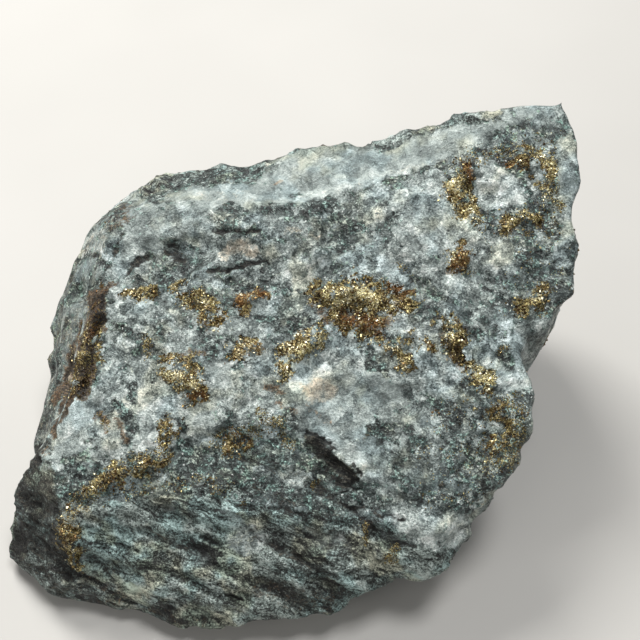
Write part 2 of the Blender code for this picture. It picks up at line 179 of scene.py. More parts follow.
WOBBLES = ((3.5, 2.2, 31.0, 47.0), (2.6, 0.7, 59.0, 71.0))    # pixels, wave in mm, and the noise's offsets
STROKE_CORE, STROKE_END = 0.5, 1.25                           # where a stroke starts to fade, and ends
LAYERS = {"paint_a": "dark schist milky lift", "paint_b": "rust black cream tarnish",
          "paint_c": "gold green smooth copper"}              # with the relief as lift
BASE_PAINT = dict(dark=0.42, schist=0.0, milky=0.3, rust=0.0, black=0.0, cream=0.0, gold=0.0, green=0.2,
                  smooth=0.1, tarnish=0.0, copper=0.08, bare=0.0)
# chipped_foot darkens the band along the foot where the stone turns under: painted shade, with some rust.
# foot_pale lightens faces of the foot that face down: painted light, with paler schist.
# groove_black and the groove_ strokes paint the groove under the lobe black: painted shadow, as well as
# carving it a little deeper.
# left_flank darkens the flank partly as painted shade, and browns it with its own cream and rust.
AREAS = """
crest_band 8 dark .12 milky .45 smooth .9: 150,184 200,176 275,166 300,150 385,147 440,130 500,115 545,108
    440,158 370,180 300,201 255,205 205,208 150,207
crest_left_grey 8 dark .3 milky .3 smooth .6: 118,205 150,190 200,205 215,230 170,245 120,255 112,235
honey_patch 5 dark .1 milky .45 cream .35 smooth .8: 195,192 225,186 250,192 256,204 225,205 200,205
left_flank 6 dark .5 milky .22 smooth .65 cream .5 rust .22: 95,222 112,212 98,275 86,315 74,355 62,395
    52,435 28,452 42,365 62,280
flank_glassy 4 dark .3 milky .2 cream 0 rust 0 smooth .9: 76,268 86,258 102,262 100,280 84,286
flank_green 4 dark .75 green .8 milky 0 cream 0: 68,288 80,282 84,296 72,310 64,304
flank_top_brown 5 dark .6 rust .5 smooth .4: 104,214 122,203 134,210 126,226 108,232
seam_ground 4 rust .9 dark .9 black .62 gold .3: 90,295 106,290 103,312 98,340 97,372 86,398 58,400 70,358
    76,335 86,314
left_foot 7 schist .9 dark 1 black .55 milky 0 green .9: 30,448 50,436 56,500 62,540 78,600 50,600 -5,540
    5,500
front_slope 9 schist 1 dark .6 milky .15: 56,512 90,506 150,500 200,488 240,500 330,512 400,530 450,552
    450,590 370,600 300,630 150,640 95,610 62,600
slope_pale_blotch 7 schist .42 dark .2 milky .5: 226,532 250,522 268,534 262,552 240,556 228,548
chipped_foot 6 black .2 rust .3: 80,574 105,568 130,574 158,590 190,612 215,628 150,640 60,610
foot_pale 6 schist .8 milky .85 black 0 rust 0: 80,552 104,554 112,566 88,570 | 122,574 138,578 158,602
    140,606 | 172,602 206,606 210,618 180,618
slope_brown 8 black .45 rust .35: 255,575 300,585 345,596 330,612 280,606 248,592
grainy_dark 10 dark .8 schist .2 milky .1 green .4: 172,448 230,436 285,432 320,462 372,486 330,512 240,500
    170,492
grainy_left 9 dark .6 milky .1 green .3: 58,470 95,455 140,465 170,490 120,500 62,512
right_dark 12 dark .72 milky .1 gold .16 green .15: 436,400 480,388 528,398 530,440 505,482 470,512 420,505
    410,470
lobe 8 dark .24 milky .3 smooth .55: 285,392 330,370 400,385 425,420 400,450 365,480 330,452 290,424
lobe_clear 7 dark .12 milky .12 smooth 1: 336,384 372,374 398,386 392,400 352,404
lobe_lip 6 dark .1 milky .75 smooth .6: 322,428 345,438 372,458 372,476 352,470 330,450
groove_black 3 black .78 dark 1 schist 1 milky 0 smooth 0: 305,437 321,442 338,458 360,480 348,482 335,473
    322,462 312,449
brown_smear 7 dark .5 rust .3 smooth .6: 410,472 440,474 464,488 450,496 420,486
pale_corner 8 schist .1 dark .3 milky .6: 392,512 440,514 458,530 436,546 404,542
pale_tip 5 dark .1 milky .8: 448,512 464,514 462,530 450,532
peak 12 dark .62 milky .17 gold .14 green .1 copper -.1: 465,160 540,115 565,120 572,200 572,300 540,320
    510,300 480,240
peak_edge_pale 5 dark .1 milky .55 gold 0 smooth .4 bare .8: 560,140 572,130 576,220 566,240 560,180
peak_tip_teal 5 schist .3 dark .35 green .9 gold 0: 524,112 566,102 568,122 540,126
peak_white 4 dark .04 milky .72 gold 0 bare .8: 477,158 488,158 504,168 530,178 534,196 515,203 486,208
    478,200
peak_pale_low 6 dark .15 milky .5 gold 0: 494,240 512,236 510,268 496,270
milky_left 7 dark .1 milky .62 smooth .6: 62,402 86,396 94,424 84,462 56,470 52,440
blue_left 7 dark .34 milky .3 smooth .5: 86,430 100,425 106,452 90,470
milky_mid 6 dark .08 milky .7 smooth .3: 108,400 140,380 156,400 160,440 140,452 118,448
white_chip 3 dark .02 milky .85 smooth .7: 202,366 232,362 232,378 218,388
pale_below_nugget 6 dark .15 milky .5 smooth .5: 182,400 214,402 214,430 190,436
glassy_patch 5 dark .05 milky .85: 282,372 312,360 330,368 322,382 292,390
cream_patch 5 dark .03 milky .7 cream .8 smooth .6: 298,384 322,376 338,388 332,402 308,402
blue_grey_middle 10 dark .22 milky .35: 352,345 400,350 432,375 420,400 380,376 340,372
pale_upper 10 dark .2 milky .45 smooth .35: 380,205 440,175 455,210 452,262 395,245
dark_centre_top 10 dark .46 milky .2: 290,206 360,200 400,220 380,245 320,240
pale_right 7 dark .2 milky .5 smooth .3: 490,340 524,335 530,385 504,392 486,370
"""
# What the strokes below paint as tarnish is painted light on the pyrite: below 0 a painted highlight on the
# lit tops of the masses, above 0 painted shade, as in the hollow under the centre mass.
STROKES = """
top_dark_lines 3 dark 1 black .7: 126,274 131,265 142,259 156,253 168,248 176,240 190,235 205,232 | 205,233
    230,230 256,230
top_knot_dark 8 dark 1 black .75: 170,248 174,256 180,266
lens_dark 3 dark 1 black .8: 208,273 225,270 240,266 255,262 270,263
lens_tail_and_band_side_dark 8 dark .75: 250,285 285,290 | 440,322 452,345
under_crest_dark 6 dark .95 black .25: 222,206 240,212
under_crest_dark_right 7 dark .62: 268,206 300,200 330,205
wash_dark 12 dark .52: 150,275 190,240 250,245
short_dark_pair 4 dark .95 black .3: 378,226 396,216
short_dark_pair_left 5 dark .8: 345,222 362,228
under_vein_and_band_arm_dark 7 dark .7: 480,220 500,232 520,240 | 180,424 182,440
upper_diagonal_dark 8 dark .8: 300,318 285,330 262,322
left_hollow_and_band_foot_dark 6 dark .85: 122,326 138,338 150,348 | 466,382 480,386 496,392
mid_hollow_dark 9 dark .6: 225,330 250,340 262,335
right_of_centre_dark 8 dark .72: 415,275 440,300 425,318
under_centre_dark 6 dark .7: 372,350 374,368
milky_hollow_dark 7 dark .85: 118,405 132,425 128,440
lobe_spots_dark 9 dark .82: 372,432 392,446 398,462
lobe_flower_dark 6 dark .62: 398,408 418,404
crest_edge_fade 9 schist .3 dark .55 smooth .3: 225,172 250,168 272,164
crest_edge_left 7 schist .7 dark .8 smooth 0: 146,190 168,178 200,172 232,173
crest_edge_right 5 schist .6 dark .75 smooth 0 green .6: 378,146 400,141 425,132 462,121 500,115
crest_line 4 cream .3 milky .75 dark 0 smooth .8: 298,201 340,189 385,175 420,163 446,157
crest_shade 3 dark .62 smooth .2: 302,209 342,197 387,183 424,170 446,164
pink_patch 8 cream .8 dark .12 milky .7 rust .15: 224,254 232,247 246,245 252,252
pink_patch_right 5 cream .62 dark .2 milky .5 rust .15: 286,232 300,230
pink_patch_far 4 cream .62 dark .2 milky .5 rust .15: 310,234 320,236
orange_spot 3 rust .6 cream 1 dark 0: 274,184 279,182
vein_side_cream 3 cream .6: 438,163 452,160
seam_streak 4 rust 1 black .85 dark 1 bare 1: 96,296 102,300 101,322
seam_pale_chip 3 rust 0 black 0 gold 0 milky .7 dark .1 bare 1: 90,339 97,338
seam_grey_hole 3 rust 0 black 0 gold 0 dark .4 bare .7: 66,379 74,380
seam_top 3 rust .9 black .4 bare 1: 90,293 104,290 116,284
seam_clear 7 bare 1: 112,280 110,300 110,330 108,352
seam_border 3 rust 1 black .7: 78,340 70,366 60,384 52,402
seam_right_stain 3 rust .8 gold .2: 98,326 105,330
seam_tail 4 rust .9 black .5 dark .9: 72,392 62,410 54,432 46,452
foot_crease 4 black .6 rust .3: 50,440 50,478 54,500 66,545
milky_stain_ring 4 rust .75: 96,420 102,412 106,424 104,432
milky_stain 4 rust .85: 116,420 126,440
centre_stain 8 rust .6: 312,300 330,318 385,328 400,300
sliver_left 4 rust .7: 264,384 282,394
sliver_middle 3 rust .55 cream .5: 276,402 296,412
sliver_right 4 rust .55 cream .5: 306,404 328,420
above_nugget_stain 5 rust .65: 180,355 205,352
stringer_stain 6 rust .5: 202,318 212,330
left_fleck_stain 6 rust .4: 140,335 150,352
vein_foot_stain 7 rust .7: 452,270 462,262
band_stain 7 rust .6 black .3: 445,335 458,365
lobe_stain 6 rust .35: 365,436 372,428
groove_top 3 black 1: 308,434 328,442 346,456 360,472
groove_mid 2 black .95: 318,456 332,462 346,474 354,480
groove_hole 3 black 1: 330,480 344,484 357,482
groove_hole_left 2 black .8: 322,470 334,482
crack_pair 2 black .9: 338,504 356,506 382,509
crack_pair_low 3 black .9: 350,508 364,516 374,528
crack_pair_right 2 black .7: 372,512 390,518 404,520
crack_hook 2 black .8: 352,488 339,492 339,502
crack_above 3 black .6: 252,486 280,496 308,508
grainy_streak 6 black .5 schist .7: 205,445 250,458 290,474 335,498
pale_grainy_streak 6 dark .25 schist .3 cream .3: 258,470 280,474 300,482
slope_groove_long 5 black .6: 215,500 250,530 290,556 335,575
slope_groove_mid 5 black .5: 262,492 310,520 350,545
slope_groove_left 5 black .42: 120,520 165,538 215,565
slope_ridge_pale 6 milky .6 dark .2 schist .62: 292,520 330,536 372,552
slope_foot_pale 7 schist .8 dark .3 milky .4: 120,570 165,592 220,612 280,616
band_gold 9 gold .5 dark .7: 165,452 130,466 100,488 76,500 62,520 62,545
band_gold_low 8 gold .3: 110,500 150,486 205,480 230,492
peak_gold 8 gold .28: 470,150 500,150 520,160 545,150 556,180 552,210
peak_gold_low 9 gold .36: 500,228 540,222 558,236
peak_rust_cluster 4 gold .9 rust .5 copper .8: 506,163 514,164 518,160
peak_top_cluster 3 gold .7 copper .4: 522,144 526,147
peak_red_cluster 3 gold .8 copper .9: 492,154 496,158
peak_navy 4 dark 1 black .4 gold 0 bare 1: 518,222 532,226
peak_grains 4 gold .75 cream .3: 540,162 550,158 552,176 | 506,228 516,226 524,212
peak_edge_grains 3 gold .75 cream .3: 558,200 568,202
peak_edge_gold 5 gold .7: 552,200 566,204
right_and_lobe_gold 9 gold .5: 512,400 520,430 506,462 492,452 | 215,440 250,430 280,425
right_gold_inner 7 gold .32: 482,430 486,470
diagonal_gold 6 gold .6: 262,414 272,422 284,438 294,446
diagonal_low_and_above_nugget_gold 4 gold .45: 190,476 205,482 214,492 | 184,356 202,352
stringer_gold 7 gold .45: 205,300 222,320
slope_and_above_centre_gold 4 gold .6: 362,522 366,542 | 398,266 410,274
slope_gold_right 5 gold .6: 384,556 398,550 390,562
slope_mid_and_milky_gold 3 gold .6: 314,486 320,482 | 98,418 102,412 106,430
slope_left_and_right_spot_gold 4 gold .5: 240,512 244,504 | 500,350 510,347
seam_gold 6 gold .45: 88,330 84,360 92,372
seam_side_gold 3 gold .7: 98,358 104,360
left_fleck_gold 5 gold .45: 148,338 146,356
vein_top_gold 7 gold .35: 462,165 490,160 510,150
pale_above_band 6 dark .1 milky .5: 396,300 420,340
centre_bright 9 tarnish -.9: 328,292 340,300 352,290 366,290 372,300
peak_gap 6 bare 1 gold 0 milky .4 dark .2: 534,162 540,174
centre_shade 8 tarnish .9 copper .5: 344,316 364,322 384,328
centre_end_shade 7 tarnish .8 copper .5: 392,286 404,290 412,288
centre_start_shade 5 tarnish .5: 314,290 322,302
streak_bright 8 tarnish -.6: 322,338 304,350 290,362
nugget_bright 7 tarnish -.9 copper .1: 172,374 186,378 198,384
nugget_shade 5 tarnish .7 copper .7: 188,394 204,398
seam_shade 8 tarnish .9 copper .4: 102,288 96,310 92,330
seam_foot_and_band_top_shade 8 tarnish .8: 84,382 72,396 | 450,344 456,352 462,360
vein_bright 7 tarnish -.8: 452,184 460,194
vein_top_shade 6 tarnish .7 copper .5: 466,160 470,176
vein_foot_shade 7 tarnish .5 copper .6: 462,250 460,268
peak_shade 8 tarnish .5 copper .3: 514,158 524,166 550,178
peak_glow 6 tarnish -.4 copper 0: 542,156 552,164 546,196
peak_low_shade 8 tarnish .1 copper .1: 500,228 540,230
band_top_bright 6 tarnish -.6 copper 0: 440,332 452,334
band_foot_bright 8 tarnish -.8 copper -.3: 478,370 496,382
mid_copper 8 copper .9 tarnish .3: 238,298 262,294
low_copper 8 copper .5 tarnish -.8: 236,350 256,348
lobe_copper 7 copper .5: 232,432 246,440
flank_crease 3 dark 1 rust .25 black .5: 124,234 117,247 113,257 111,266
flank_smudge 7 dark .9 rust .4: 104,222 116,212
flank_cream 5 cream .9 milky .45 dark .2: 88,318 80,338 72,362 62,388
flank_grey 5 dark .7: 60,330 58,356
flank_rim 4 dark .62: 50,362 48,392 42,424
flank_crease_low 3 dark .8: 84,284 74,300 68,330
flank_blades 3 milky .7 dark 0: 80,246 92,238 100,230
flank_blades_low 2 milky .9 dark 0: 80,256 92,249
flank_bright 4 milky .75 cream .4 dark 0: 99,248 110,256
flank_facet_dark 3 dark 1 black .2: 80,261 90,254 97,254 104,265
flank_crease_mid 2 dark 1 black .6: 88,287 98,281 104,275 107,266
flank_rim_top 2 dark 1 black .3: 90,226 82,238 76,256 69,280 62,298
pale_spots 9 dark .08 milky .58 black 0 bare 1: 150,243 158,248 | 288,270 306,272 | 314,246 320,258 |
    466,228 474,242 | 408,262 420,270 | 254,370 262,388 | 160,390 176,408 | 114,358 110,378 100,398 |
    424,356 438,368 450,380
pale_spots 10 dark .08 milky .58 black 0 bare 1: 184,230 206,238 | 370,200 378,216
pale_spots 7 dark .08 milky .58 black 0 bare 1: 268,254 276,258 | 560,248 564,264 | 318,360 334,348 352,340
    | 48,440 48,466 | 482,424 500,428 | 336,380 346,376 | 460,282 476,290
pale_spots 8 dark .08 milky .58 black 0 bare 1: 428,214 432,224 | 436,272 446,278 | 300,372 312,368 |
    212,370 216,386 | 442,392 458,398 472,408 | 428,432 436,448 | 316,520 322,540 | 226,506 240,524 248,542
    | 128,304 136,308 | 142,444 154,450 | 196,438 214,444 | 248,326 262,332 | 342,444 354,456 | 472,352
    486,356
pale_spots 6 dark .08 milky .58 black 0 bare 1: 268,426 274,432 | 286,470 306,480 | 160,504 170,510 |
    262,302 266,308 | 106,448 120,452
pale_spots 5 dark .08 milky .58 black 0 bare 1: 370,442 374,458
dark_spots 10 dark .88 milky 0 black .2: 150,192 176,180 212,176 252,174
dark_spots 6 dark .88 milky 0 black .2: 392,144 416,134 444,126 | 288,412 294,424 | 132,388 134,402 |
    328,286 346,284 | 306,320 322,326 | 442,414 450,424 | 66,462 84,456
dark_spots 8 dark .88 milky 0 black .2: 164,276 184,270 206,260 | 202,334 212,352 | 236,282 246,288 |
    384,426 408,432 | 362,498 382,506 | 246,602 272,600 | 552,312 560,304 | 50,344 52,384 42,424
dark_spots 7 dark .88 milky 0 black .2: 164,284 186,278 | 222,554 236,564 | 196,572 214,576 | 292,542
    310,552 324,562 | 546,226 554,236 | 466,318 478,336 | 494,304 528,302 | 504,350 508,366 | 372,366
    384,370 | 376,336 392,340 | 396,480 406,484 | 468,464 486,470 | 178,452 190,462
dark_spots 5 dark .88 milky 0 black .2: 342,246 350,248 | 494,158 514,172 528,190
"""


def rows(table):
    """Each row's width, what it paints, and its outlines or lines."""
    for row in table.strip().replace("\n    ", " ").splitlines():
        head, places = row.split(":")
        _, width, *paints = head.split()
        lines = [[tuple(map(int, place.split(","))) for place in line.split()] for line in places.split("|")]
        yield float(width), dict(zip(paints[::2], map(float, paints[1::2]))), lines


def line_distance(column, row, points):
    """Distance in pixels from each place to a broken line."""
    best = np.full(len(column), 1e9)
    for (ax, ay), (bx, by) in zip(points, points[1:]):
        run_x, run_y = bx - ax, by - ay
        share = np.clip(((column - ax) * run_x + (row - ay) * run_y) / (run_x ** 2 + run_y ** 2), 0, 1)
        best = np.minimum(best, np.hypot(column - ax - share * run_x, row - ay - share * run_y))
    return best


def inside_outline(column, row, points):
    """Which places lie inside a closed outline."""
    inside = np.zeros(len(column), bool)
    for (ax, ay), (bx, by) in zip(points, points[1:] + points[:1]):
        crosses = (ay > row) != (by > row)
        at = ax + (row - ay) / np.where(by == ay, 1e-9, by - ay) * (bx - ax)
        inside ^= crosses & (column < at)
    return inside


def area_share(column, row, points, softness):
    """1 inside an outline and 0 outside, with a soft edge."""
    distance = line_distance(column, row, points + points[:1])
    distance = np.where(inside_outline(column, row, points), -distance, distance)
    return 1 - smooth_step(distance, -softness / 2, softness)


def each_noise(points, scale=1.0, offset=0.0, octaves=3, fade=0.8):
    """Noise of about -1 to 1 at points in mm, with the given scale in mm."""
    shift = Vector((offset, offset * 0.7, -offset))
    return np.array([noise.fractal(Vector(point) / scale + shift, fade, 2.0, octaves) for point in points])


def paint_masks(points, facing):
    """The masks at every vertex: procedural all round, and painted where the camera sees."""
    across = points @ np.array(VEIN_NORMAL) + 1.5 * each_noise(points, 9, 3.0)
    vein = smooth_step(across, VEIN_FRONT - 2, VEIN_FRONT + 2)
    vein *= 1 - smooth_step(across, VEIN_BACK - 2, VEIN_BACK + 2)
    patches = each_noise(points, 7, 11.0)
    streaks = each_noise(points, 14, 23.0)
    flank = smooth_step(-points[:, 0], 24, 31) * smooth_step(points[:, 2], 5, 11)
    schist = (1 - vein) * (1 - flank)
    hidden = dict(
        schist=schist,
        dark=np.clip(0.42 + 0.4 * patches, 0, 1) * vein + 0.6 * schist + 0.2 * flank,
        milky=np.clip(0.35 - 0.6 * streaks, 0, 1) * vein,
        rust=np.clip(streaks * 1.2 - 0.35, 0, 0.8),
        black=np.clip(patches - 0.45, 0, 0.6) * schist,
        cream=0.5 * flank,
        gold=np.clip(0.1 + 0.3 * patches, 0, 0.4) * vein * (1 - flank),
        green=np.full(len(points), 0.3),
        smooth=np.maximum(np.clip(0.3 + 0.8 * streaks, 0, 1) * vein, 0.7 * flank),
        tarnish=patches,
        copper=np.clip(streaks, 0, 1),
        bare=np.zeros(len(points)))
    column, row = picture_place(points)
    for reach, size, across_offset, down_offset in WOBBLES:
        column = column + reach * each_noise(points, size, across_offset)
        row = row + reach * each_noise(points, size, down_offset)
    seen = {name: np.full(len(points), value) for name, value in BASE_PAINT.items()}

    def lay(paints, share):
        for name, amount in paints.items():
            seen[name] += (amount - seen[name]) * share

    for softness, paints, outlines in rows(AREAS):
        for outline in outlines:
            lay(paints, area_share(column, row, outline, softness))
    for width, paints, lines in rows(STROKES):
        for line in lines:
            distance = line_distance(column, row, line)
            lay(paints, 1 - smooth_step(distance, width * STROKE_CORE, width * STROKE_END))
    front = smooth_step(facing, 0.05, 0.24)
    return {name: seen[name] * front + hidden[name] * (1 - front) for name in BASE_PAINT}


# The stone's relief.

GRAIN_SIZES = ((3.4, 0.12), (1.5, 0.28))    # quartz facets: size in mm, and slope
FACET_JOIN, FACET_SEED = 0.22, 7.31         # how wide their joins are to a cell, and what mixes their slopes
LAYER_PITCH, LAYER_LENGTH = 1.15, 6.5       # the schist's ridges
SLAB_PITCH, SLAB_LENGTH = 4.2, 13.0         # and its slabs
RELIEF_LIMIT = 0.75
RELIEF_START = (0.3, 2.5)                   # heights over the floor where the relief starts, and is full
SIDE_RELIEF = 0.35                          # what stays of it where the camera looks along the surface
EDGE_ROUNDS = 10                            # rounds of averaging that find the edges and wear them
EDGE_FLATNESS = (0.80, 0.97)                # the averaged normal's length at an edge, and where it is flat
EDGE_RELIEF = 0.12                          # what an edge keeps of the relief
EDGE_FILL = 0.3                             # mm that an edge gets back of what the smoothing took
EDGE_WEAR = 0.6                             # how far an edge goes back to the places averaged around it
NEEDLE_ROUNDS, SINK_ROUNDS = 4, 22          # rounds of averaging that find a needle, and that draw it in
NEEDLE_FLATNESS = (0.5, 0.72)               # the averaged normal's length at a needle, and past it
TIP_ROUNDS = 6                              # rounds that smooth the highest corner, which has no relief
TIP_REACH = (3.5, 8.0)                      # mm from it where this starts to fade, and ends


def along_layers(points, pitch, length):
    """Points with the schist's layers made one unit thick, and long."""
    normal = np.array(LAYER_NORMAL)
    height = (points @ normal)[:, None]
    return points / length + normal * height * (1 / pitch - 1 / length)


def facets(points, size, slope):
    """Small tilted planes, one to a Voronoi cell, joined where the cells meet."""
    heights = np.zeros(len(points))
    for index, point in enumerate(points):
        place = Vector(point) / size
        distances, centres = noise.voronoi(place)
        planes = []
        for centre in centres[:2]:
            tilt = noise.cell_vector(centre * FACET_SEED) * 2 - Vector((1, 1, 1))
            planes.append((place - centre).dot(tilt))
        share = min((distances[1] - distances[0]) / FACET_JOIN, 1)
        heights[index] = planes[0] * (0.5 + 0.5 * share) + planes[1] * (0.5 - 0.5 * share)
    return heights * size * slope


def stone_relief(points, masks):
    """Height in mm over the smooth skin."""
    quartz = facets(points, *GRAIN_SIZES[0]) + facets(points, *GRAIN_SIZES[1])
    ridges = 1 - np.abs(each_noise(along_layers(points, LAYER_PITCH, LAYER_LENGTH), fade=0.7)) * 2
    slabs = 1 - np.abs(each_noise(along_layers(points, SLAB_PITCH, SLAB_LENGTH), 1, 5.0, 2, 0.7)) * 2.4
    schist = 0.36 * ridges + 0.6 * slabs - 0.15
    coarse = 0.16 * each_noise(points / 0.9, 1, 9.0, 2, 0.7)
    height = quartz * (1 - 0.55 * masks["smooth"]) * (1 - 0.65 * masks["schist"]) + schist * masks["schist"]
    height += coarse * (0.5 * masks["dark"] + 0.2) - 0.5 * masks["black"]
    return np.clip(height, -RELIEF_LIMIT, RELIEF_LIMIT)


def calmed(mesh, vectors, rounds):
    """Vectors averaged with their neighbours'; the average of unit normals is short along an edge."""
    ends = np.empty(len(mesh.edges) * 2, int)
    mesh.edges.foreach_get("vertices", ends)
    ends = ends.reshape(-1, 2)
    count = 1 + np.bincount(ends.ravel(), minlength=len(vectors))[:, None]
    for _ in range(rounds):
        total = vectors.copy()
        np.add.at(total, ends[:, 0], vectors[ends[:, 1]])
        np.add.at(total, ends[:, 1], vectors[ends[:, 0]])
        vectors = total / count
    return vectors


def vertex_arrays(mesh):
    """Places in mm and normals of a mesh's vertices."""
    places = np.empty(len(mesh.vertices) * 3)
    mesh.vertices.foreach_get("co", places)
    normals = np.empty(len(mesh.vertices) * 3)
    mesh.vertices.foreach_get("normal", normals)
    return places.reshape(-1, 3) / MM, normals.reshape(-1, 3)


def write_masks(mesh, masks):
    """Keep the masks as the colour layers that the material reads."""
    for layer, names in LAYERS.items():
        colours = np.stack([masks[name] for name in names.split()], axis=1)
        attribute = mesh.color_attributes.new(layer, "FLOAT_COLOR", "POINT")
        attribute.data.foreach_set("color", colours.ravel())


def facing_camera(places, normals):
    """How squarely each vertex faces the camera: 1 straight on, 0 edge on, and below 0 from behind."""
    away = np.array(view_axes()[0]) - places
    away /= np.linalg.norm(away, axis=1)[:, None]
    return np.einsum("ij,ij->i", away, normals)


def without_needles(mesh, places, normals):
    """Places with the thin needles drawn in that swelling and shrinking leave at the skin's sharp corners."""
    length = np.linalg.norm(calmed(mesh, normals, NEEDLE_ROUNDS), axis=1)
    needle = 1 - smooth_step(length, *NEEDLE_FLATNESS)
    return places + (calmed(mesh, places, SINK_ROUNDS) - places) * needle[:, None]


def dressed_places(mesh, places, normals, relief):
    """Places with the edges worn and the relief put on, most of it where the stone is flat."""
    start = smooth_step(places[:, 2], *RELIEF_START)
    rounded = calmed(mesh, normals, EDGE_ROUNDS)
    length = np.linalg.norm(rounded, axis=1)
    flatness = smooth_step(length, *EDGE_FLATNESS)
    worn = (calmed(mesh, places, EDGE_ROUNDS) - places) * (EDGE_WEAR * (1 - flatness) * start)[:, None]
    highest = places[np.argmax(places[:, 2])]
    tip = 1 - smooth_step(np.linalg.norm(places - highest, axis=1), *TIP_REACH)
    worn += (calmed(mesh, places, TIP_ROUNDS) - places - worn) * tip[:, None]
    share = relief * (EDGE_RELIEF + (1 - EDGE_RELIEF) * flatness) + EDGE_FILL * (1 - flatness)
    share *= start * (1 - tip) / length
    dressed = places + worn + rounded * share[:, None]
    dressed[:, 2] = np.maximum(dressed[:, 2], 0)
    return dressed


def build_stone():
    """The dressed stone, with what each mass of pyrite covers of it, and its masks."""
    body = closed_stone()
    mesh = body.data
    places, normals = vertex_arrays(mesh)
    places = without_needles(mesh, places, normals)
    facing = facing_camera(places, normals)
    masks = paint_masks(places, facing)
    relief = stone_relief(places, masks)
    relief *= SIDE_RELIEF + (1 - SIDE_RELIEF) * smooth_step(np.abs(facing), 0.0, 0.4)
    dressed = dressed_places(mesh, places, normals, relief)
    mesh.vertices.foreach_set("co", (dressed * MM).ravel())
    mesh.update()
    mesh.shade_smooth()
    shares = crust_shares(places, masks["bare"])
    paint_under_crusts(masks, shares)
    masks["lift"] = np.clip(0.5 + relief / (2 * RELIEF_LIMIT), 0, 1)
    write_masks(mesh, masks)
    return body, shares, masks


# Materials.

MIDDLE = (0.5, 0.5, 0.5)
FLOOR_PATCH = 111.0        # mm


class Shader:
    """One material, with short calls that add its nodes and join them."""

    def __init__(self, name):
        self.material = bpy.data.materials.new(name)
        self.material.use_nodes = True
        self.tree = self.material.node_tree
        self.tree.nodes.clear()

    def add(self, kind, inputs, output=0, **settings):
        node = self.tree.nodes.new(kind)
        for setting, value in settings.items():
            setattr(node, setting, value)
        for key, value in inputs.items():
            if isinstance(value, bpy.types.NodeSocket):
                self.tree.links.new(value, node.inputs[key])
            else:
                node.inputs[key].default_value = value
        return node.outputs[output]

    def calc(self, operation, *values):
        return self.add("ShaderNodeMath", dict(enumerate(values)), operation=operation)

    def times(self, first, second):
        return self.calc("MULTIPLY", first, second)

    def total(self, *terms):
        """A weighted sum of (value, weight) pairs."""
        result = self.times(*terms[0])
        for value, weight in terms[1:]:
            result = self.calc("MULTIPLY_ADD", value, weight, result)
        return result

    def vector(self, operation, *values, output=0):
        return self.add("ShaderNodeVectorMath", dict(enumerate(values)), output, operation=operation)

    def place(self):
        """Where a point is on the object, in mm."""
        return self.scaled(self.add("ShaderNodeTexCoord", {}, "Object"), 1 / MM)

    def scaled(self, vector, factor):
        return self.add("ShaderNodeVectorMath", {0: vector, "Scale": factor}, operation="SCALE")

    def mix(self, share, first, second, blend="MIX"):
        values = {"Factor": share, 6: first, 7: second}
        return self.add("ShaderNodeMix", values, 2, data_type="RGBA", blend_type=blend, clamp_factor=True)

    def tinted(self, colour, share, tint):
        """A colour that is multiplied by a tint where the share is 1."""
        return self.mix(share, colour, self.mix(1.0, colour, (*tint, 1.0), "MULTIPLY"))

    def step(self, value, low, high, start=0.0, end=1.0):
        values = {"Value": value, "From Min": low, "From Max": high, "To Min": start, "To Max": end}
        return self.add("ShaderNodeMapRange", values, interpolation_type="SMOOTHSTEP")

    def fog(self, vector, size, detail=3.0, roughness=0.6, output=0):
        """Noise in waves of a size in mm."""
        values = {"Vector": vector, "Scale": 1 / size, "Detail": detail, "Roughness": roughness}
        return self.add("ShaderNodeTexNoise", values, output)

    def cells(self, vector, size, output="Color", feature="F1"):
        """Voronoi cells of a size in mm."""
        values = {"Vector": vector, "Scale": 1 / size}
        return self.add("ShaderNodeTexVoronoi", values, output, feature=feature)

    def parts(self, colour):
        """The red, green and blue of a colour."""
        return tuple(self.add("ShaderNodeSeparateColor", {0: colour}).node.outputs)

    def painted(self, layer):
        """The four numbers of a mesh's colour layer."""
        colour = self.add("ShaderNodeAttribute", {}, "Color", attribute_name=layer)
        return *self.parts(colour), colour.node.outputs["Alpha"]

    def ramp(self, value, *stops):
        node = self.tree.nodes.new("ShaderNodeValToRGB")
        self.tree.links.new(value, node.inputs[0])
        elements = node.color_ramp.elements
        while len(elements) < len(stops):
            elements.new(0.5)
        for element, (place, colour) in zip(elements, stops):
            element.position = place
            element.color = colour
        return node.outputs[0]

    def shade(self, value, *stops):
        """A ramp for values about 0, each stop being a place from 0 to 1 and three screen values."""
        return self.ramp(self.calc("ADD", value, 0.5), *((place, rgb(*colour)) for place, colour in stops))

    def turned(self, normal, colour, amount):
        """A normal, turned a little one way in each crystal."""
        turn = self.scaled(self.vector("SUBTRACT", colour, MIDDLE), amount)
        return self.vector("NORMALIZE", self.vector("ADD", normal, turn))

    def surface(self, **inputs):
        inputs = {name.replace("_", " "): value for name, value in inputs.items()}
        output = self.tree.nodes.new("ShaderNodeOutputMaterial")
        self.tree.links.new(self.add("ShaderNodeBsdfPrincipled", inputs), output.inputs["Surface"])
        return self.material


def rgb(red, green, blue):
    """A linear colour from screen values of 0 to 255."""
    return (*((value / 255) ** 2.2 for value in (red, green, blue)), 1.0)


PYRITE_STOPS = ((0.05, rgb(34, 29, 21)), (0.32, rgb(82, 72, 48)), (0.55, rgb(140, 127, 84)),
                (0.78, rgb(206, 195, 142)), (1.0, rgb(252, 248, 214)))
PYRITE_COPPER = rgb(138, 98, 62)


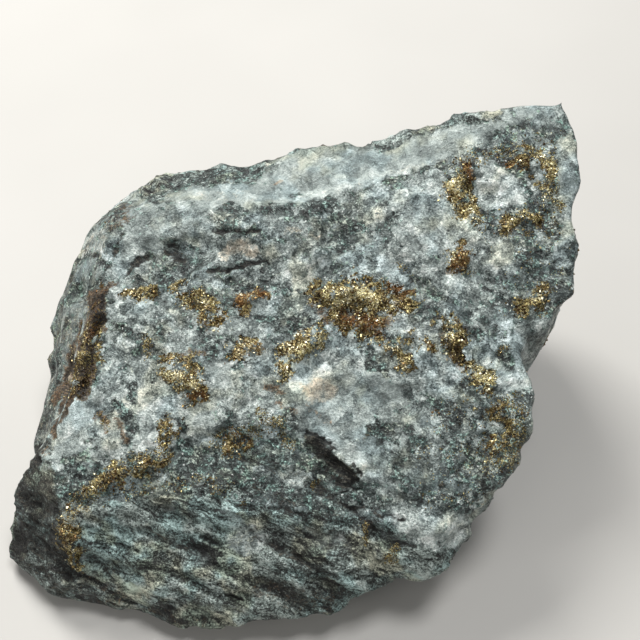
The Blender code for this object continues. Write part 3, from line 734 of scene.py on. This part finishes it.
def stone_material():
    shader = Shader("matrix_stone")
    place, fog, step, times = shader.place(), shader.fog, shader.step, shader.times
    total, mix, tinted = shader.total, shader.mix, shader.tinted
    sway = shader.vector("SUBTRACT", fog(place, 5.0, 2.0, 0.5, "Color"), MIDDLE)
    folded = shader.vector("ADD", place, shader.scaled(sway, 4.0))
    crumble = shader.vector("SUBTRACT", fog(place, 0.4, 2.0, 0.7, "Color"), MIDDLE)
    broken = shader.vector("ADD", place, shader.scaled(crumble, 0.4))
    chipped = shader.vector("ADD", place, shader.scaled(crumble, 0.16))
    height = shader.vector("DOT_PRODUCT", folded, tuple(LAYER_NORMAL), output="Value")
    normal = shader.add("ShaderNodeCombineXYZ", dict(enumerate(LAYER_NORMAL)))

    def layered(pitch, length):
        """Places with the schist's layers made one unit thick, and long."""
        rise = shader.scaled(normal, times(height, 1 / pitch - 1 / length))
        return shader.vector("ADD", shader.scaled(folded, 1 / length), rise)

    def about(value, middle=0.5):
        return shader.calc("SUBTRACT", value, middle)

    dark, schist, milky, lift = shader.painted("paint_a")
    rust, black, cream, tarnish = shader.painted("paint_b")
    gold, green, smooth, copper = shader.painted("paint_c")

    # Clouds and cells of many sizes: the tints and the veil about 0.5, and the others about 0.
    tints = shader.parts(fog(place, 5.0, 2.0, 0.6, "Color"))
    veil = fog(folded, 3.2, 4.0, 0.6)
    sizes = (broken, 1.7), (chipped, 1.05), (broken, 0.65), (place, 0.21), (place, 0.13)
    hues = [shader.cells(*size) for size in sizes]
    grains, blocks, crumbs, flakes, motes = ([about(part) for part in shader.parts(hue)] for hue in hues)
    _, _, crumb_hue, flake_hue, mote_hue = hues
    plates = [about(part) for part in shader.parts(shader.cells(layered(0.4, 1.2), 1.0))]
    sugar = about(fog(place, 0.3, 2.0, 0.9))
    lumps = about(fog(place, 1.3, 3.0, 0.7))
    clouds = about(fog(layered(2.4, 5.5), 1.0, 3.0, 0.66))
    streak = about(fog(layered(0.7, 4.0), 1.0, 4.0, 0.68))
    strands = about(fog(layered(0.22, 1.7), 1.0, 3.0, 0.7))
    bands = about(fog(layered(2.8, 7.0), 1.0, 3.0, 0.6))

    # Where the dark minerals lie, grain by grain.
    field = total((clouds, 1.5), (lumps, 0.85), (sugar, 1.1), (crumbs[0], 0.2), (dark, 1.0), (blocks[0], 0.3),
                  (grains[2], 0.16))
    dark_share = step(field, 0.44, 0.7)

    # Quartz: grey where it is clear and white where it is milky, with dark joints between its grains, and
    # white wisps where the paint says that it is smooth.
    roughness = step(smooth, 0.0, 1.0, 1.0, 0.35)
    joint = shader.cells(broken, 2.1, "Distance", "DISTANCE_TO_EDGE")
    joint = times(step(joint, 0.0, 0.035, 1.0, 0.0), step(tints[1], 0.4, 0.55))
    tone = total((crumbs[1], 0.22), (grains[0], 0.24), (sugar, 1.15), (lumps, 0.3), (flakes[0], 0.26),
                 (blocks[1], 0.26))
    wisp = step(shader.calc("ABSOLUTE", about(veil, 0.52)), 0.0, 0.035, 1.0, 0.0)
    wisp = times(wisp, shader.calc("SUBTRACT", 1.0, roughness))
    tone = total((tone, roughness), (grains[0], 0.14), (about(veil), 0.55), (about(milky, 0.35), 0.48),
                 (joint, -0.14), (wisp, 0.16))
    quartz = shader.shade(tone, (0.12, (52, 60, 59)), (0.32, (92, 101, 99)), (0.52, (134, 144, 141)),
                          (0.72, (174, 184, 180)), (0.97, (228, 233, 229)))
    quartz = tinted(quartz, step(tints[0], 0.46, 0.64), (0.92, 0.99, 1.04))
    quartz = tinted(quartz, step(tints[1], 0.5, 0.66), (1.06, 1.0, 0.88))

    # Chlorite: nearly black, with green and grey flakes.
    chlorite = shader.shade(
        total((flakes[0], 0.4), (sugar, 1.3), (lumps, 0.7), (crumbs[2], 0.3), (plates[0], 0.3)),
        (0.2, (16, 18, 18)), (0.4, (36, 42, 41)), (0.58, (72, 81, 79)), (0.76, (122, 132, 129)),
        (0.95, (186, 195, 190)))
    chlorite = tinted(chlorite, step(crumbs[0], 0.1, 0.2), (0.86, 1.06, 1.02))
    chlorite = tinted(chlorite, times(green, 0.8), (0.84, 1.04, 0.98))
    chlorite = tinted(chlorite, step(tints[2], 0.5, 0.62), (1.06, 1.0, 0.9))

    # Schist: streaks along its layers, and a little quartz.
    # The relief lifts the schist's tone on its ridges and lowers it in its hollows: painted light and shade.
    layers = total((streak, 0.9), (strands, 0.5), (bands, 0.8), (sugar, 1.1), (plates[1], 0.26),
                   (flakes[1], 0.24), (about(lift, 0.52), 0.4), (about(milky, 0.15), 0.25))
    foliated = shader.shade(layers, (0.26, (15, 16, 15)), (0.42, (48, 53, 50)), (0.57, (94, 104, 100)),
                            (0.74, (144, 156, 151)), (0.92, (188, 199, 194)))
    foliated = tinted(foliated, step(tints[0], 0.44, 0.6), (0.88, 1.03, 1.06))
    foliated = tinted(foliated, step(tints[2], 0.48, 0.6), (1.14, 1.0, 0.84))
    pale_vein = step(total((clouds, 1.0), (dark, -0.25)), -0.06, 0.06)
    foliated = mix(times(pale_vein, 0.35), foliated, quartz)
    schist_share = step(total((schist, 1.0), (lumps, 0.9), (sugar, 0.4), (strands, 0.4)), 0.34, 0.62)
    base = mix(schist_share, mix(dark_share, quartz, chlorite), foliated)

    # Stains of rust, honey and coal black, where the black is also painted shadow in the groove under the
    # lobe and painted shade under the pyrite and along the foot, and painted shade in the hollows.
    rust_share = step(total((rust, 1.0), (lumps, 1.3), (sugar, 0.9)), 0.3, 0.8)
    rust_colour = shader.shade(sugar, (0.3, (38, 30, 22)), (0.5, (84, 64, 42)), (0.7, (136, 108, 74)))
    base = mix(times(rust_share, 0.8), base, rust_colour)
    base = tinted(base, step(total((cream, 1.0), (lumps, 1.3), (sugar, 0.9)), 0.3, 0.9), (1.2, 1.0, 0.86))
    cream_share = step(total((cream, 1.0), (lumps, 0.7)), 0.7, 1.1)
    cream_colour = shader.shade(sugar, (0.3, (158, 132, 112)), (0.65, (214, 198, 176)))
    base = mix(times(cream_share, 0.6), base, cream_colour)
    blackness = total((black, 1.0), (lumps, 0.8), (sugar, 0.5), (strands, 1.1), (streak, 0.9))
    black_share = step(blackness, 0.35, 0.75)
    black_and_shade_colour = shader.shade(total((sugar, 0.8), (strands, 1.2)), (0.32, (5, 5, 5)), (0.55, (22, 20, 18)),
                        (0.75, (86, 82, 73)))
    base = mix(times(black_share, 0.92), base, black_and_shade_colour)
    base = mix(1.0, base, step(lift, 0.15, 0.5, 0.6, 1.0), "MULTIPLY")

    # Gold dust between the grains, made lighter and darker by the painted light and shade on the pyrite.
    gold_field = times(gold, step(total((lumps, 1.0), (gold, 0.3)), -0.05, 0.2, 0.1, 1.0))
    gold_share = shader.calc("LESS_THAN", motes[2], about(gold_field, 0.53))
    gold_tone = total((motes[0], 0.55), (sugar, 1.3), (lumps, 1.1), (tarnish, -0.35))
    gold_colour = shader.ramp(shader.calc("ADD", gold_tone, 0.42), *PYRITE_STOPS)
    gold_copper = step(total((copper, 1.0), (about(veil), 1.2), (lumps, 0.7), (motes[1], 0.3)), 0.0, 0.8)
    gold_colour = mix(times(gold_copper, 0.65), gold_colour, PYRITE_COPPER)
    base = mix(gold_share, base, gold_colour)

    # Painted glints: near-white specks mixed into the colour of a few small cells, standing for cleavage
    # faces that catch the light, and smoother there.
    glints = shader.parts(shader.cells(place, 0.19))[0]
    dullness = total((roughness, 1.0), (black_share, -0.02), (schist_share, -0.012))
    painted_glint = shader.calc("GREATER_THAN", times(glints, dullness), 0.978)
    base = mix(times(painted_glint, 0.6), base, rgb(222, 227, 224))
    rough = total((crumbs[2], 0.3), (schist_share, 0.1), (gold_share, -0.12), (painted_glint, -0.2),
                  (black_share, 0.3))
    bumps = total((streak, schist), (sugar, 0.9), (lumps, 1.0), (crumbs[1], 0.12))
    bumped = shader.add("ShaderNodeBump", {"Height": bumps, "Strength": 0.9, "Distance": 0.35 * MM})
    flake_turn = times(roughness, step(schist_share, 0.0, 1.0, 0.5, 0.28))
    bumped = shader.turned(bumped, flake_hue, flake_turn)
    bumped = shader.turned(bumped, crumb_hue, times(roughness, 0.3))
    bumped = shader.turned(bumped, mote_hue, times(gold_share, 0.9))
    return shader.surface(Base_Color=base, Roughness=shader.calc("ADD", rough, 0.49),
                          Metallic=times(gold_share, 0.8), Normal=bumped)


def pyrite_material():
    shader = Shader("pyrite_metal")
    bright, coppery, _, _ = shader.painted("crystal")
    dust = shader.fog(shader.place(), 0.16, 3.0, 0.7)
    brass = shader.ramp(bright, *PYRITE_STOPS)
    brass = shader.mix(shader.times(coppery, 0.65), brass, PYRITE_COPPER)
    brass = shader.mix(shader.step(dust, 0.42, 0.66, 0.0, 0.5), brass, rgb(60, 50, 34))
    rough = shader.calc("MULTIPLY_ADD", dust, 0.4, 0.18)
    bumped = shader.add("ShaderNodeBump", {"Height": dust, "Strength": 0.7, "Distance": 0.06 * MM})
    return shader.surface(Base_Color=brass, Roughness=rough, Metallic=0.8, Normal=bumped)


def floor_material():
    shader = Shader("pale_floor")
    patches = shader.fog(shader.place(), FLOOR_PATCH, 3.0)
    colour = shader.ramp(patches, (0.3, rgb(178, 176, 172)), (0.7, rgb(186, 184, 180)))
    return shader.surface(Base_Color=colour, Roughness=0.75)


# Pyrite crusts.

CRYSTAL_LOOKS = {
    # mass: (how bright 0-1, how coppery 0-1, share of the surface left bare, crystal size in mm)
    "pyrite_centre": (0.48, 0.08, 0.34, 0.13),
    "pyrite_streak": (0.72, 0.12, 0.46, 0.13),
    "pyrite_nugget": (0.60, 0.3, 0.40, 0.13),
    "pyrite_seam": (0.42, 0.05, 0.55, 0.12),
    "pyrite_upper_vein": (0.56, 0.12, 0.40, 0.13),
    "pyrite_front_band": (0.50, 0.05, 0.60, 0.13),
    "pyrite_right_band": (0.56, 0.02, 0.42, 0.13),
    "pyrite_peak": (0.56, 0.10, 0.50, 0.13),
}
PLAIN_LOOK = (0.5, 0.25, 0.48, 0.13)
CRYSTALS_TO_AREA = 0.5      # about how many crystals lie on one square of their size, at the thickest
CRYSTAL_SPREAD = (0.6, 0.8, 1.0, 1.3, 1.8)    # times the usual size
FLECK_SIZES = (0.12, 0.15, 0.19, 0.25)
FLECKS_TO_AREA = 4.0        # about how many lie on a square millimetre of full gold paint
CUBE_SHARE = 0.6            # of the crystals; the others are octahedra
SCATTER = 1.5               # how far the last loose grains lie
FLOOR_GAP = 0.6             # no crystals lower than this
CUBE = [(x, y, z) for x in (-1, 1) for y in (-1, 1) for z in (-1, 1)]
CUBE_FACES = [(0, 1, 3, 2), (4, 6, 7, 5), (0, 4, 5, 1), (2, 3, 7, 6), (0, 2, 6, 4), (1, 5, 7, 3)]
OCTA = [(1.5, 0, 0), (-1.5, 0, 0), (0, 1.5, 0), (0, -1.5, 0), (0, 0, 1.5), (0, 0, -1.5)]
OCTA_FACES = [(0, 2, 4), (2, 1, 4), (1, 3, 4), (3, 0, 4), (2, 0, 5), (1, 2, 5), (3, 1, 5), (0, 3, 5)]


def random_turn(rng):
    """A rotation about an even random axis."""
    axis = Vector([rng.gauss(0, 1) for _ in range(3)]).normalized()
    return Matrix.Rotation(rng.uniform(0, math.tau), 3, axis)


def random_shift(rng, reach):
    return Vector([rng.uniform(-reach, reach) for _ in range(3)])


def drawn(rng, count):
    """A whole number that is the count on average."""
    return int(count) + (rng.random() < count % 1)


class Crust:
    """Crystals gathered into one mesh."""

    def __init__(self):
        self.places, self.faces, self.hues = [], [], []

    def crystal(self, rng, centre, size, *hue):
        """A cube or an octahedron a little out of shape, as bright and as coppery as its hue says."""
        corners, faces = (CUBE, CUBE_FACES) if rng.random() < CUBE_SHARE else (OCTA, OCTA_FACES)
        turn = random_turn(rng)
        stretch = Vector((rng.uniform(0.6, 1.0), rng.uniform(0.7, 1.1), rng.uniform(0.9, 1.6))) * size / 2
        first = len(self.places)
        for corner in corners:
            shaped = (Vector(corner) + random_shift(rng, 0.2)) * stretch
            self.places.append((centre + turn @ shaped) * MM)
            self.hues += (*(min(max(value, 0), 1) for value in hue), 0.0, 1.0)
        self.faces += [tuple(first + corner for corner in face) for face in faces]

    def body(self, name, material):
        mesh = bpy.data.meshes.new(name)
        mesh.from_pydata(self.places, [], self.faces)
        attribute = mesh.color_attributes.new("crystal", "FLOAT_COLOR", "POINT")
        attribute.data.foreach_set("color", self.hues)
        mesh.materials.append(material)
        mesh.validate()
        return link(name, mesh)


def solid_tree(node):
    """A search tree over a solid, in mm."""
    mesh = node.data
    corners = [vertex.co / MM for vertex in mesh.vertices]
    return BVHTree.FromPolygons(corners, [tuple(face.vertices) for face in mesh.polygons])


def crust_shares(skin, cleared):
    """For each mass of pyrite, how much of it covers each of the skin's places near it, with ragged edges."""
    shares = {}
    for name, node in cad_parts.items():
        if name == "matrix":
            continue
        bare = CRYSTAL_LOOKS.get(name, PLAIN_LOOK)[2]
        tree = solid_tree(node)
        low, high = (np.array(corner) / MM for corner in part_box(name))
        near = np.flatnonzero(np.all((skin > low - SCATTER) & (skin < high + SCATTER), axis=1))
        shares[name] = {}
        for index in near:
            place = Vector(skin[index])
            gap = tree.find_nearest(place)[3]
            ragged = 0.9 * noise.fractal(place / 1.5, 0.7, 2.0, 4) + 0.6 * noise.noise(place / 0.5)
            share = 1.05 - bare - gap / 1.1 + ragged - 1.5 * cleared[index]
            if gap < SCATTER and share > 0:
                shares[name][int(index)] = min(share, 1)
    return shares


def paint_under_crusts(masks, shares):
    """Brown and darken the stone where the pyrite lies, as rust stain and painted shade between the crystals,
    and dust it with gold.
    """
    for near in shares.values():
        for index, share in near.items():
            # Rust, dark and black here are partly a stain and partly painted shade between the crystals.
            for name, amount in (("gold", 0.95), ("rust", 0.6), ("dark", 0.85), ("black", 0.45)):
                masks[name][index] = max(masks[name][index], amount * min(share * 1.6, 1))


def crust_for(name, near, stone, masks):
    """The crystals over one mass of pyrite: thick on the solid and thinning out past its edge."""
    bright, coppery, _, size = CRYSTAL_LOOKS.get(name, PLAIN_LOOK)
    rng = random.Random(name)
    crust = Crust()
    for face in stone.data.polygons:
        corner = face.vertices[0]
        share = near.get(corner, 0)
        centre = face.center / MM
        if not share or centre.z < FLOOR_GAP:
            continue
        cover = CRYSTALS_TO_AREA / size ** 2 * (0.08 + share ** 1.5)
        for _ in range(drawn(rng, face.area / MM ** 2 * cover)):
            shift = random_shift(rng, 1) * 0.2
            shift -= face.normal * shift.dot(face.normal)
            grain = size * rng.choice(CRYSTAL_SPREAD)
            lift = grain * rng.uniform(-0.45, 0.1)
            local = noise.fractal(centre / 1.9 + Vector((7, 3, 1)), 0.8, 2.0, 3)
            # Each crystal's colour is lighter or darker with the painted light and shade on the pyrite, and
            # with random tone.
            shine = bright + 0.7 * local - 0.4 * masks["tarnish"][corner] + rng.gauss(0, 0.28)
            copper = coppery + 0.6 * masks["copper"][corner] + 0.4 * noise.noise(centre / 1.7)
            copper += rng.gauss(0, 0.12)
            crust.crystal(rng, centre + shift + face.normal * lift, grain, shine, copper)
    return crust


def loose_flecks(stone, masks):
    """Single small crystals wherever the paint asks for gold."""
    rng = random.Random("flecks")
    crust = Crust()
    for face in stone.data.polygons:
        amount = masks["gold"][face.vertices[0]]
        count = face.area / MM ** 2 * FLECKS_TO_AREA * max(amount - 0.08, 0)
        centre = face.center / MM
        if centre.z < FLOOR_GAP:
            continue
        if noise.fractal(centre / 0.9, 0.8, 2.0, 2) < 0.05:
            count *= 0.15
        for _ in range(drawn(rng, count)):
            grain = rng.choice(FLECK_SIZES)
            shine, copper = rng.gauss(0.55, 0.22), rng.gauss(0.3, 0.2)
            crust.crystal(rng, centre + face.normal * grain * 0.1, grain, shine, copper)
    return crust


# The scene.

def add_floor():
    mesh = bpy.data.meshes.new("floor")
    half = 1200 * MM
    corners = [(-half, -half, 0), (half, -half, 0), (half, half, 0), (-half, half, 0)]
    mesh.from_pydata(corners, [], [(0, 1, 2, 3)])
    mesh.materials.append(floor_material())
    link("floor", mesh)


def add_light(name, place, size, energy, colour):
    """A square soft light at a place in mm, turned to the object."""
    lamp = bpy.data.lights.new(name, "AREA")
    lamp.size = size * MM
    lamp.energy = energy
    lamp.color = colour
    body = link(name, lamp)
    body.location = Vector(place) * MM
    body.rotation_euler = (Vector((0, 0, 15)) - Vector(place)).to_track_quat("-Z", "Y").to_euler()


def add_camera():
    eye, _, _, forward = view_axes()
    lens = bpy.data.cameras.new("camera")
    lens.lens, lens.sensor_width, lens.clip_start = LENS, SENSOR, 0.005
    body = link("camera", lens)
    body.location = eye * MM
    body.rotation_euler = forward.to_track_quat("-Z", "Y").to_euler()
    bpy.context.scene.camera = body


def light_scene():
    world = bpy.data.worlds.new("room")
    world.use_nodes = True
    background = world.node_tree.nodes["Background"]
    background.inputs["Color"].default_value = (0.95, 0.98, 1.0, 1)
    background.inputs["Strength"].default_value = 0.2
    bpy.context.scene.world = world
    bpy.context.scene.view_settings.view_transform = "Standard"
    add_light("key", (-150, 280, 420), 200, 3.1, (1.0, 0.99, 0.96))
    add_light("top", (90, 40, 480), 120, 1.3, (1.0, 1.0, 1.0))
    add_light("fill", (-300, -260, 240), 220, 0.5, (1.0, 0.97, 0.93))


def main():
    add_camera()
    add_floor()
    light_scene()
    stone, shares, masks = build_stone()
    stone.data.materials.append(stone_material())
    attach(stone, "root")
    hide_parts("matrix")
    metal = pyrite_material()
    for name, near in shares.items():
        crystals = crust_for(name, near, stone, masks).body(name + "_crystals", metal)
        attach(crystals, "root")
        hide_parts(name)
    flecks = loose_flecks(stone, masks).body("pyrite_flecks", metal)
    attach(flecks, "root")


main()
